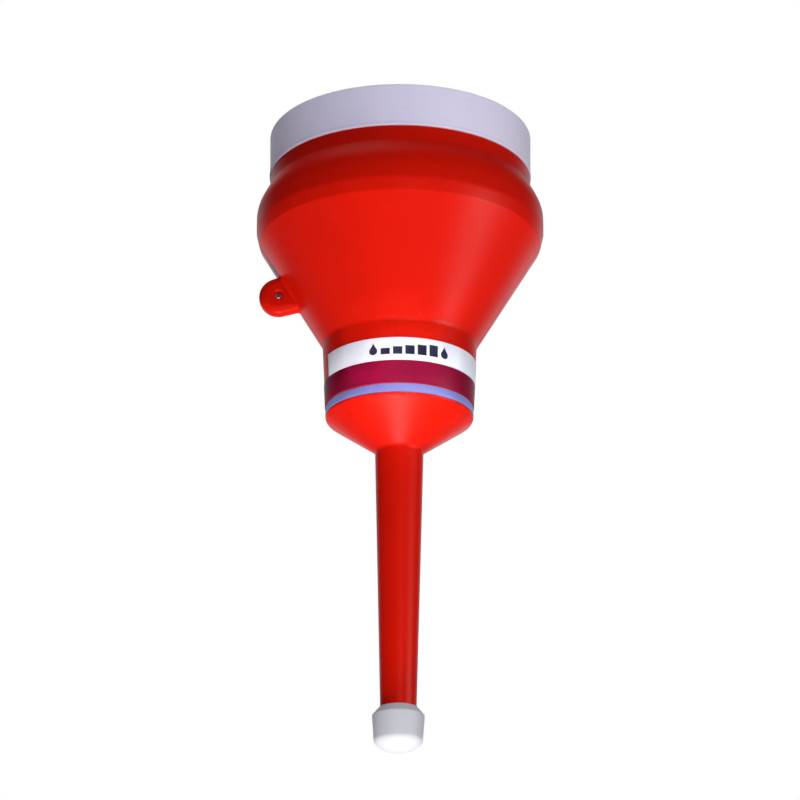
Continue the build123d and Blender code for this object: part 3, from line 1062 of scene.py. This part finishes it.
@dataclass
class NeckTapes:
    """The white label and the crimson band wrapped round the neck."""

    bowl: Bowl
    thickness: float = mm(0.4)
    seam_gap: float = mm(5.0)
    label_start: float = math.radians(68.0)
    label_arc: float = math.radians(240.0)
    marks_start: float = mm(-17.0)
    mark_pitch: float = mm(6.9)
    mark_height: float = mm(6.6)
    bar_half: float = mm(2.6)
    ink_height: float = mm(0.03)
    edge_round: float = mm(0.15)
    divisions: int = 180

    def skin(self, height: float) -> float:
        """Outer radius of the neck at a height."""
        share = (height - self.bowl.base) / (self.bowl.cone_low - self.bowl.base)
        return self.bowl.neck_bottom + share * (self.bowl.neck_top - self.bowl.neck_bottom)

    def wrap(
        self, node: str, name: str, finish: Finish, start: float, sweep: float
    ) -> bpy.types.Object:
        """Build one tape, part of the way round the neck.

        Args:
            node: CAD node that it stands for.
            name: Piece name.
            finish: Its finish.
            start: Direction of its first end, from +X.
            sweep: Angle that it covers.

        Returns:
            The piece.
        """
        bottom, top = low(node), high(node)
        corners = [
            Corner(self.skin(bottom), bottom),
            Corner(self.skin(bottom) + self.thickness, bottom, self.edge_round),
            Corner(self.skin(top) + self.thickness, top, self.edge_round),
            Corner(self.skin(top), top),
        ]
        section = rounded(corners, 3)
        made = bmesh.new()
        rings = []
        for index in range(self.divisions + 1):
            angle = start + sweep * index / self.divisions
            rings.append([
                made.verts.new((r * math.cos(angle), r * math.sin(angle), z)) for r, z in section
            ])
        for first, second in zip(rings, rings[1:]):
            bridge(made, first, second)
        made.faces.new(rings[0])
        made.faces.new(list(reversed(rings[-1])))
        bmesh.ops.recalc_face_normals(made, faces=made.faces)
        return as_piece(made, name, finish, "bowl", node)

    def print_shape(
        self, made: bmesh.types.BMesh, rows: Sequence[tuple[float, float, float]]
    ) -> None:
        """Print one solid shape on the label.

        Args:
            made: Mesh of the ink.
            rows: Height, left and right edge of the shape on each row, going up.
        """
        columns = 6
        grid = []
        for height, left, right in rows:
            radius = self.skin(height) + self.thickness + self.ink_height
            line = []
            for step in range(columns + 1):
                along = left + (right - left) * step / columns
                angle = -math.pi / 2 + along / radius
                x, y = radius * math.cos(angle), radius * math.sin(angle)
                line.append(made.verts.new((x, y, height)))
            grid.append(line)
        for lower, upper in zip(grid, grid[1:]):
            for k in range(columns):
                made.faces.new((lower[k], lower[k + 1], upper[k + 1], upper[k]))

    def drop(self, middle: float, floor: float) -> list[tuple[float, float, float]]:
        """Rows of a drop shape: a round bottom that runs up to a point.

        Args:
            middle: Place of its middle along the label.
            floor: Height of its lowest point.

        Returns:
            Height, left and right edge of each row.
        """
        rows = []
        tall = self.mark_height * 1.08
        ball = self.mark_height * 0.36
        shoulder, shoulder_half = ball * 1.35, ball * 0.937
        taper = 1.35
        count = 18
        for step in range(count + 1):
            up = tall * step / count
            if up < shoulder:
                half = math.sqrt(max(ball ** 2 - (up - ball) ** 2, 0.0))
            else:
                share = (tall - up) / (tall - shoulder)
                half = shoulder_half * share ** taper
            half = max(half, mm(0.05))
            rows.append((floor + up, middle - half, middle + half))
        return rows

    def make_marks(self) -> bpy.types.Object:
        """Print the label's plain pictogram: a drop, five rising bars and a drop."""
        made = bmesh.new()
        centre = (low("label_tape") + high("label_tape")) / 2
        floor = centre - self.mark_height / 2
        count = 7
        for index in range(count):
            middle = self.marks_start + self.mark_pitch * (index + 0.3)
            if index in (0, count - 1):
                self.print_shape(made, self.drop(middle, floor))
                continue
            tall = self.mark_height * (0.45 + 0.11 * index)
            left, right = middle - self.bar_half, middle + self.bar_half
            rows = [(floor + tall * k / 4, left, right) for k in range(5)]
            self.print_shape(made, rows)
        return as_piece(made, "label_marks", Finish.INK, "bowl")

    def make(self) -> None:
        """Build both tapes and the printed marks."""
        front = -math.pi / 2
        self.wrap(
            "label_tape", "neck_label", Finish.LABEL, front - self.label_start, self.label_arc
        )
        gap = self.seam_gap / self.bowl.neck_bottom
        start, sweep = math.pi / 2 + gap / 2, 2 * math.pi - gap
        self.wrap("id_band", "neck_band", Finish.BAND, start, sweep)
        self.make_marks()


# --- lid ----------------------------------------------------------------------


@dataclass
class Lid:
    """White press-on lid with a raised edge ring, a plug ring and a foam seal."""

    skirt_wall: float = mm(2.2)
    plate: float = mm(2.6)
    ring_width: float = mm(7.0)
    ring_height: float = mm(1.0)
    plug_depth: float = mm(5.6)
    plug_wall: float = mm(1.8)
    plug_radius: float = mm(69.65)
    waist_depth: float = mm(0.35)
    waist_foot: float = mm(1.9)
    waist_head: float = mm(2.6)
    panel_radius: float = mm(30.0)
    panel_depth: float = mm(0.35)
    gate_radius: float = mm(5.2)
    gate_depth: float = mm(0.8)
    pip_radius: float = mm(1.6)
    pip_depth: float = mm(0.45)
    rib_count: int = 12
    rib_start: float = mm(9.0)
    rib_overlap: float = mm(0.4)
    rib_sink: float = mm(0.1)

    def __post_init__(self) -> None:
        """Read the lid's place from the frame."""
        lowest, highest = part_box("lid")
        self.bottom = lowest.z
        self.top = highest.z
        self.radius = highest.x
        self.plate_top = self.top - self.ring_height
        self.plate_low = self.plate_top - self.plate

    def outline(self) -> Outline:
        """Closed section of the lid."""
        inner = self.radius - self.skirt_wall
        plug_inner = self.plug_radius - self.plug_wall
        plug_low = self.plate_low - self.plug_depth
        ring = self.radius - self.ring_width
        waist = self.radius - self.waist_depth
        panel = self.plate_top - self.panel_depth
        gate = self.plate_top - self.gate_depth
        pip = self.plate_top - self.pip_depth
        return rounded([
            Corner(0.0, self.plate_low),
            Corner(plug_inner, self.plate_low, mm(0.8)),
            Corner(plug_inner, plug_low, mm(0.6)),
            Corner(self.plug_radius, plug_low, mm(0.8)),
            Corner(self.plug_radius, self.plate_low, mm(0.3)),
            Corner(inner, self.plate_low, mm(0.3)),
            Corner(inner, self.bottom, mm(0.5)),
            Corner(self.radius - mm(0.05), self.bottom, mm(0.45)),
            Corner(self.radius - mm(0.05), self.bottom + mm(1.5), mm(0.3)),
            Corner(waist, self.bottom + self.waist_foot, mm(0.5)),
            Corner(self.radius - mm(0.1), self.top - self.waist_head, mm(4.0)),
            Corner(self.radius, self.top, mm(1.3)),
            Corner(ring, self.top, mm(0.8)),
            Corner(ring - mm(1.0), self.plate_top, mm(0.8)),
            Corner(self.panel_radius, self.plate_top, mm(0.5)),
            Corner(self.panel_radius - mm(0.4), panel, mm(0.5)),
            Corner(self.gate_radius, panel, mm(0.5)),
            Corner(self.gate_radius - mm(0.4), gate, mm(0.3)),
            Corner(self.pip_radius, gate, mm(0.2)),
            Corner(self.pip_radius - mm(0.3), pip, mm(0.2)),
            Corner(0.0, pip),
        ], 5)

    def ribs(self, made: bmesh.types.BMesh) -> None:
        """Add the stiffening ribs under the plate.

        Args:
            made: Mesh of the lid.
        """
        half = [(mm(0.9), 0.0), (mm(0.6), mm(-1.2)), (mm(0.35), mm(-1.5))]
        section = half + [(-across, down) for across, down in reversed(half)]
        reaches = (self.rib_start, self.plug_radius - self.plug_wall + self.rib_overlap)
        for index in range(self.rib_count):
            angle = 2 * math.pi * (index + 0.5) / self.rib_count
            add_rib(made, section, angle, reaches, self.plate_low + self.rib_sink)

    def make_seal(self) -> bpy.types.Object:
        """Build the foam ring, slightly pillowed between the plug and the skirt."""
        lowest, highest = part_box("lid_seal")
        outer = highest.x
        inner = self.plug_radius + mm(0.1)
        section = rounded([
            Corner(inner, lowest.z, mm(0.6)),
            Corner(outer, lowest.z, mm(0.6)),
            Corner(outer, highest.z, mm(0.2)),
            Corner(inner, highest.z, mm(0.2)),
        ], 5)
        return as_piece(turned(section), "lid_foam_ring", Finish.FOAM, "lid", "lid_seal")

    def make(self) -> None:
        """Build the lid and its seal."""
        made = turned(self.outline(), 224, (), 0.0)
        self.ribs(made)
        bmesh.ops.recalc_face_normals(made, faces=made.faces)
        as_piece(made, "lid_cover", Finish.WHITE_LID, "lid", "lid")
        self.make_seal()


# --- spout --------------------------------------------------------------------


@dataclass
class SpoutSection:
    """Push-fit spout: spigot with O-ring, flat lower cone and tapered tube."""

    wall: float = mm(2.5)
    tube_wall: float = mm(1.8)
    seat_radius: float = mm(41.5)
    seat_edge: float = mm(1.2)
    seat_round: float = mm(2.1)
    cone_height: float = mm(19.5)
    root_radius: float = mm(13.4)
    cap_radius: float = mm(9.8)
    spigot_radius: float = mm(38.7)
    spigot_wall: float = mm(3.3)
    ring_section: float = mm(1.1)

    def __post_init__(self) -> None:
        """Read the section's place from the frame."""
        self.tip = low("spout")
        self.top = high("spout")
        self.seat = low("joint_seal")
        self.cap_top = high("tip_cap")
        self.cone_top = self.seat - self.seat_edge
        self.root = self.cone_top - self.cone_height
        self.groove = (low("spigot_o_ring") + high("spigot_o_ring")) / 2
        self.ring_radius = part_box("spigot_o_ring")[1].x - self.ring_section

    def tube_at(self, height: float) -> float:
        """Outer radius of the tapered tube at a height."""
        share = (height - self.cap_top) / (self.root - self.cap_top)
        return self.cap_radius + share * (self.root_radius - self.cap_radius)

    def outline(self) -> Outline:
        """Closed section of the moulding."""
        run = self.seat_radius - self.root_radius
        lift = self.wall * math.hypot(run, self.cone_height) / run
        inner_root = self.tube_at(self.root) - self.tube_wall
        spigot_inner = self.spigot_radius - self.spigot_wall
        slope = self.cone_height / run
        inner_top = self.root + lift + slope * (spigot_inner - self.root_radius)
        tip = self.tube_at(self.tip)
        floor = self.ring_radius - self.ring_section + mm(0.1)
        half = self.ring_section + mm(0.3)
        return rounded([
            Corner(tip - self.tube_wall, self.tip, mm(0.4)),
            Corner(tip, self.tip, mm(0.6)),
            Corner(self.root_radius, self.root, mm(2.6)),
            Corner(self.seat_radius, self.cone_top, self.seat_round),
            Corner(self.seat_radius, self.seat, mm(0.5)),
            Corner(self.spigot_radius, self.seat, mm(0.4)),
            Corner(self.spigot_radius, self.groove - half, mm(0.2)),
            Corner(floor, self.groove - half, mm(0.3)),
            Corner(floor, self.groove + half, mm(0.3)),
            Corner(self.spigot_radius, self.groove + half, mm(0.2)),
            Corner(self.spigot_radius, self.top, mm(1.2)),
            Corner(spigot_inner, self.top, mm(0.8)),
            Corner(spigot_inner, inner_top, mm(3.0)),
            Corner(inner_root, self.root + lift - mm(0.9), mm(4.0)),
        ], 7)

    def make_rings(self) -> None:
        """Build the pale square seal and the black O-ring."""
        lowest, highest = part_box("joint_seal")
        inner = self.spigot_radius + mm(0.05)
        section = rounded([
            Corner(inner, lowest.z, mm(0.3)),
            Corner(highest.x, lowest.z, mm(0.8)),
            Corner(highest.x, highest.z, mm(0.8)),
            Corner(inner, highest.z, mm(0.3)),
        ], 5)
        body = "spout_section"
        as_piece(turned(section), "joint_seal_ring", Finish.PALE_SEAL, body, "joint_seal")
        sides = 20
        turns = [2 * math.pi * k / sides for k in range(sides)]
        circle = [
            (
                self.ring_radius + self.ring_section * math.cos(turn),
                self.groove + self.ring_section * math.sin(turn),
            )
            for turn in turns
        ]
        as_piece(turned(circle), "o_ring", Finish.BLACK_RUBBER, body, "spigot_o_ring")

    def make(self) -> None:
        """Build the spout moulding and its two rings."""
        made = turned(self.outline(), 192, MOULD_SEAMS, 0.2)
        as_piece(made, "spout_tube", Finish.RED, "spout_section", "spout")
        self.make_rings()


@dataclass
class TipCap:
    """White cap over the spout's end, with a domed underside and a soft liner."""

    dome_height: float = mm(7.5)
    dome_radius: float = mm(13.5)
    shoulder_height: float = mm(4.5)
    floor: float = mm(5.0)
    clearance: float = mm(0.3)
    handle: float = 0.5523

    def outline(self, bore: float) -> Outline:
        """Closed section of the cap.

        Args:
            bore: Radius of the cap's bore.

        Returns:
            Radius and height of each point.
        """
        bottom, top = low("tip_cap"), high("tip_cap")
        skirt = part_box("tip_cap")[1].x
        shoulder = top - self.shoulder_height
        # A cubic curve follows a quarter of an ellipse when its handles are this long.
        dome = curve(
            Corner(0.0, bottom),
            Corner(self.dome_radius * self.handle, bottom),
            Corner(self.dome_radius, bottom + self.dome_height * (1 - self.handle)),
            Corner(self.dome_radius, bottom + self.dome_height),
            20,
        )
        return rounded([
            *dome,
            Corner(skirt, shoulder, mm(0.9)),
            Corner(bore + mm(0.5), top, mm(0.5)),
            Corner(bore, top, mm(0.3)),
            Corner(bore, bottom + self.floor, mm(0.6)),
            Corner(0.0, bottom + self.floor),
        ], 6)

    def make(self, spout: SpoutSection) -> None:
        """Build the cap and its liner.

        Args:
            spout: The spout section that it fits.
        """
        bore = spout.tube_at(high("tip_cap")) + self.clearance
        made = turned(self.outline(bore), 128, (), 0.0)
        as_piece(made, "tip_cap_shell", Finish.WHITE_CAP, "tip_cap", "tip_cap")
        lowest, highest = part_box("tip_cap_seal")
        liner = rounded([
            Corner(0.0, lowest.z),
            Corner(highest.x, lowest.z, mm(0.3)),
            Corner(highest.x, highest.z, mm(0.5)),
            Corner(mm(9.2), highest.z, mm(0.2)),
            Corner(mm(8.9), highest.z - mm(0.25), mm(0.2)),
            Corner(mm(7.9), highest.z - mm(0.25), mm(0.2)),
            Corner(mm(7.6), highest.z, mm(0.2)),
            Corner(0.0, highest.z),
        ], 4)
        as_piece(turned(liner, 96), "tip_cap_liner", Finish.FOAM, "tip_cap", "tip_cap_seal")


# --- strainer -----------------------------------------------------------------


@dataclass
class Strainer:
    """Lift-out strainer: frame, woven mesh, clamping ring and pull knob."""

    bowl: Bowl
    clearance: float = mm(0.35)
    frame_wall: float = mm(2.2)
    ledge_width: float = mm(5.5)
    ledge_height: float = mm(2.0)
    rib_half: float = mm(1.3)
    rib_bevel: float = mm(0.5)
    rib_sink: float = mm(0.02)
    rib_count: int = 4
    hub_radius: float = mm(6.0)
    stem_radius: float = mm(2.4)
    wire_pitch: float = mm(1.9)
    wire_radius: float = mm(0.2)
    wire_sides: int = 5
    wave_samples: int = 4
    cloth_crease: float = 60.0

    def __post_init__(self) -> None:
        """Read the strainer's levels from the frame."""
        self.ledge = low("strainer_mesh")
        self.foot = self.ledge - self.ledge_height
        self.rim = high("strainer_frame")
        slant = self.bowl.wall * math.hypot(1.0, self.bowl.spread) + self.clearance
        self.low_radius = self.bowl.cone_at(self.foot) - slant
        self.high_radius = self.bowl.cone_at(self.rim) - slant
        self.mesh_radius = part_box("strainer_mesh")[1].x

    def make_frame(self) -> bpy.types.Object:
        """Build the conical ring with its ribs and hub."""
        inner = self.low_radius - self.frame_wall
        made = turned(rounded([
            Corner(inner - self.ledge_width, self.foot, mm(0.5)),
            Corner(self.low_radius, self.foot, mm(0.6)),
            Corner(self.high_radius, self.rim, mm(0.7)),
            Corner(self.high_radius - self.frame_wall, self.rim, mm(0.7)),
            Corner(inner, self.ledge, mm(0.4)),
            Corner(inner - self.ledge_width, self.ledge, mm(0.5)),
        ], 4))
        depth = self.ledge - low("strainer_frame")
        absorb(made, turned(rounded([
            Corner(self.stem_radius, self.ledge - depth, mm(0.2)),
            Corner(self.hub_radius, self.ledge - depth, mm(0.8)),
            Corner(self.hub_radius, self.ledge, mm(0.3)),
            Corner(self.stem_radius, self.ledge, mm(0.2)),
        ], 4), 48))
        for index in range(self.rib_count):
            absorb(made, self.rib(2 * math.pi * index / self.rib_count, depth))
        return as_piece(made, "strainer_basket", Finish.NYLON, "strainer", "strainer_frame")

    def rib(self, angle: float, depth: float) -> bmesh.types.BMesh:
        """Build one rib from the hub to the ledge.

        Args:
            angle: Its direction.
            depth: Its depth below the ledge.

        Returns:
            The mesh.
        """
        made = bmesh.new()
        half, soft = self.rib_half, self.rib_bevel
        section = [
            (-half, 0.0), (half, 0.0), (half, -depth + soft), (half - soft, -depth),
            (soft - half, -depth), (-half, -depth + soft),
        ]
        ends = (self.hub_radius - mm(0.5), self.low_radius - self.frame_wall - mm(2.0))
        add_rib(made, section, angle, ends, self.ledge - self.rib_sink)
        bmesh.ops.recalc_face_normals(made, faces=made.faces)
        return made

    def make_mesh(self) -> bpy.types.Object:
        """Weave the wire cloth: two sets of wires that pass over and under."""
        made = bmesh.new()
        middle = (self.ledge + high("strainer_mesh")) / 2
        edge = self.mesh_radius - mm(0.2)
        count = int(edge / self.wire_pitch)
        wave = self.wire_radius * 0.95
        for turned_set in (False, True):
            for index in range(-count, count + 1):
                across = index * self.wire_pitch
                half = math.sqrt(max(edge ** 2 - across ** 2, 0.0))
                waves = int(2 * half / self.wire_pitch)
                steps = max(4, waves * self.wave_samples)
                path = []
                for step in range(steps + 1):
                    along = -half + 2 * half * step / steps
                    phase = math.pi * along / self.wire_pitch + math.pi * index
                    lift = wave * math.cos(phase) * (-1.0 if turned_set else 1.0)
                    place = (across, along) if turned_set else (along, across)
                    path.append(Vector((place[0], place[1], middle + lift)))
                if abs(across) < self.stem_radius:
                    self.split_wire(made, path)
                else:
                    tube_along(made, path, self.wire_radius, self.wire_sides)
        return as_piece(
            made, "strainer_wire_cloth", Finish.WIRE, "strainer", "strainer_mesh", self.cloth_crease
        )

    def split_wire(self, made: bmesh.types.BMesh, path: Sequence[Vector]) -> None:
        """Add a wire that stops at the pull's stem on both sides.

        Args:
            made: Mesh of the cloth.
            path: The whole wire's middle.
        """
        clear = self.stem_radius + mm(0.2)
        for side in (-1, 1):
            run = [
                p for p in path
                if math.hypot(p.x, p.y) > clear and (p.x + p.y) * side > 0
            ]
            if len(run) > 3:
                tube_along(made, run, self.wire_radius, self.wire_sides)

    def make_ring(self) -> bpy.types.Object:
        """Build the ring that clamps the cloth on the ledge."""
        lowest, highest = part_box("strainer_clip_ring")
        inner = highest.x - mm(3.4)
        section = rounded([
            Corner(inner, lowest.z, mm(0.3)),
            Corner(highest.x, lowest.z, mm(0.3)),
            Corner(highest.x, highest.z, mm(0.4)),
            Corner(inner + mm(1.0), highest.z, mm(0.5)),
            Corner(inner, highest.z - mm(1.0), mm(0.5)),
        ], 4)
        made = turned(section, 160)
        return as_piece(made, "strainer_clamp_ring", Finish.NYLON, "strainer", "strainer_clip_ring")

    def make_pull(self) -> bpy.types.Object:
        """Build the stem and its dished knob."""
        lowest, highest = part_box("strainer_pull")
        flange = high("strainer_mesh")
        knob = highest.x
        knob_low = highest.z - mm(7.0)
        stem = self.stem_radius + mm(0.6)
        section = rounded([
            Corner(0.0, lowest.z),
            Corner(self.stem_radius, lowest.z, mm(0.4)),
            Corner(self.stem_radius, flange),
            Corner(self.hub_radius, flange, mm(0.2)),
            Corner(self.hub_radius, flange + mm(1.2), mm(0.5)),
            Corner(stem, flange + mm(3.0), mm(1.5)),
            Corner(stem, knob_low - mm(2.0), mm(1.8)),
            Corner(knob - mm(0.8), knob_low, mm(0.8)),
            Corner(knob, knob_low + mm(2.2), mm(2.0)),
            Corner(knob, highest.z - mm(2.0), mm(1.4)),
            Corner(knob - mm(2.2), highest.z, mm(1.2)),
            Corner(mm(2.0), highest.z - mm(0.9), mm(1.5)),
            Corner(0.0, highest.z - mm(0.9)),
        ], 5)
        made = turned(section, 64)
        return as_piece(made, "strainer_knob", Finish.NYLON, "strainer", "strainer_pull")

    def make(self) -> None:
        """Build the whole strainer."""
        self.make_frame()
        self.make_mesh()
        self.make_ring()
        self.make_pull()


# --- studio -------------------------------------------------------------------


@dataclass(frozen=True)
class Softbox:
    """One round area light aimed at a point; it can be kept out of highlights."""

    name: str
    place: tuple[float, float, float]
    aim: tuple[float, float, float]
    size: float
    power: float
    colour: Colour = (1.0, 1.0, 1.0)
    shines: bool = True
    spread: float = 180.0

    def make(self) -> None:
        """Add the light."""
        data = bpy.data.lights.new(self.name, "AREA")
        data.shape = "DISK"
        data.size = self.size
        data.energy = self.power
        data.color = self.colour
        data.spread = math.radians(self.spread)
        light = bpy.data.objects.new(self.name, data)
        light.location = self.place
        away = Vector(self.aim) - Vector(self.place)
        light.rotation_euler = away.to_track_quat("-Z", "Y").to_euler()
        light.visible_camera = False
        light.visible_glossy = self.shines
        bpy.context.scene.collection.objects.link(light)


@dataclass
class Studio:
    """Camera, pale floor far below, white surround and soft lights."""

    floor_height: float = -1.6
    floor_size: float = 14.0
    focal_length: float = 161.04
    camera_distance: float = 1.8809
    camera_drop: float = 0.5084
    camera_shift: float = 0.0003
    camera_pitch: float = math.radians(110.747)
    camera_roll: float = math.radians(0.2)

    def make_camera(self) -> None:
        """Put the camera low in front, looking up at the funnel."""
        data = bpy.data.cameras.new("camera")
        data.lens = self.focal_length
        data.clip_end = 50.0
        camera = bpy.data.objects.new("camera", data)
        camera.location = (self.camera_shift, -self.camera_distance, -self.camera_drop)
        camera.rotation_euler = (self.camera_pitch, 0.0, 0.0)
        camera.rotation_euler.rotate_axis("Z", self.camera_roll)
        bpy.context.scene.collection.objects.link(camera)
        bpy.context.scene.camera = camera

    def make_floor(self) -> None:
        """Lay a plain pale floor well below the hanging funnel."""
        made = bmesh.new()
        bmesh.ops.create_grid(made, x_segments=1, y_segments=1, size=self.floor_size / 2)
        mesh = bpy.data.meshes.new("floor")
        made.to_mesh(mesh)
        made.free()
        material, net = Network.for_material("floor_paint")
        tone = net.mix((0.80, 0.80, 0.81), (0.84, 0.84, 0.84), net.noise(3.0, 2.0))
        net.surface({"Base Color": tone}, {"Roughness": 0.9})
        mesh.materials.append(material)
        floor = bpy.data.objects.new("floor", mesh)
        floor.location = (0.0, 0.0, self.floor_height)
        floor.visible_diffuse = False
        floor.visible_glossy = False
        bpy.context.scene.collection.objects.link(floor)

    def make_world(self) -> None:
        """White to the camera, and otherwise a glow from behind over a dim lower half."""
        world = bpy.data.worlds.new("surround")
        bpy.context.scene.world = world
        world.use_nodes = True
        net = Network(world.node_tree)
        way = net.node("ShaderNodeTexCoord", output="Generated")
        depth = net.node("ShaderNodeSeparateXYZ", None, {0: way}, output="Y")
        height = net.node("ShaderNodeSeparateXYZ", None, {0: way}, output="Z")
        glow = net.mix((0.02, 0.02, 0.025), (0.75, 0.75, 0.80), depth.step(0.55, 0.95))
        light = net.mix((0.10, 0.10, 0.12), glow, height.step(-0.30, 0.05))
        seen = net.node("ShaderNodeLightPath", output="Is Camera Ray")
        colour = net.mix(light, (1.0, 1.0, 1.0), seen)
        shade = net.node("ShaderNodeBackground", None, {"Color": colour, "Strength": 1.0})
        net.node("ShaderNodeOutputWorld", None, {"Surface": shade})

    def make(self) -> None:
        """Build the whole studio."""
        self.make_camera()
        self.make_floor()
        self.make_world()
        middle = (0.0, 0.0, 0.2)
        neck = (0.0, 0.0, 0.215)
        lights = [
            Softbox("under", (0.0, -0.10, -0.98), middle, 0.35, 6.8, shines=False),
            Softbox("glint", (0.0, -0.10, -0.98), middle, 0.35, 4.0),
            Softbox("front", (0.12, -0.70, 0.08), middle, 0.35, 3.0, (0.86, 0.88, 1.0), False),
            Softbox("neck", (0.0, -0.80, -0.10), neck, 0.05, 0.009, spread=5.0, shines=False),
            Softbox("right", (1.5, -0.6, -0.1), middle, 0.9, 8.5),
            Softbox("left", (-0.34, -0.28, -0.98), middle, 0.4, 7.5, shines=False),
            Softbox("top", (-0.2, 0.2, 1.6), middle, 0.9, 15.0, shines=False),
            Softbox("floor_wash", (0.0, 0.0, -0.55), (0.0, 0.0, -1.0), 14.0, 420.0, shines=False),
        ]
        for light in lights:
            light.make()
        view = bpy.context.scene.view_settings
        view.view_transform = "Standard"
        view.look = "None"


def main() -> None:
    """Build the funnel's pieces in order, then the studio."""
    logging.basicConfig(level=logging.INFO, format="%(name)s: %(message)s")
    Studio().make()
    bowl = Bowl()
    bowl.make()
    NeckTapes(bowl).make()
    Lid().make()
    spout = SpoutSection()
    spout.make()
    TipCap().make(spout)
    Strainer(bowl).make()


if __name__ == "__main__":
    main()
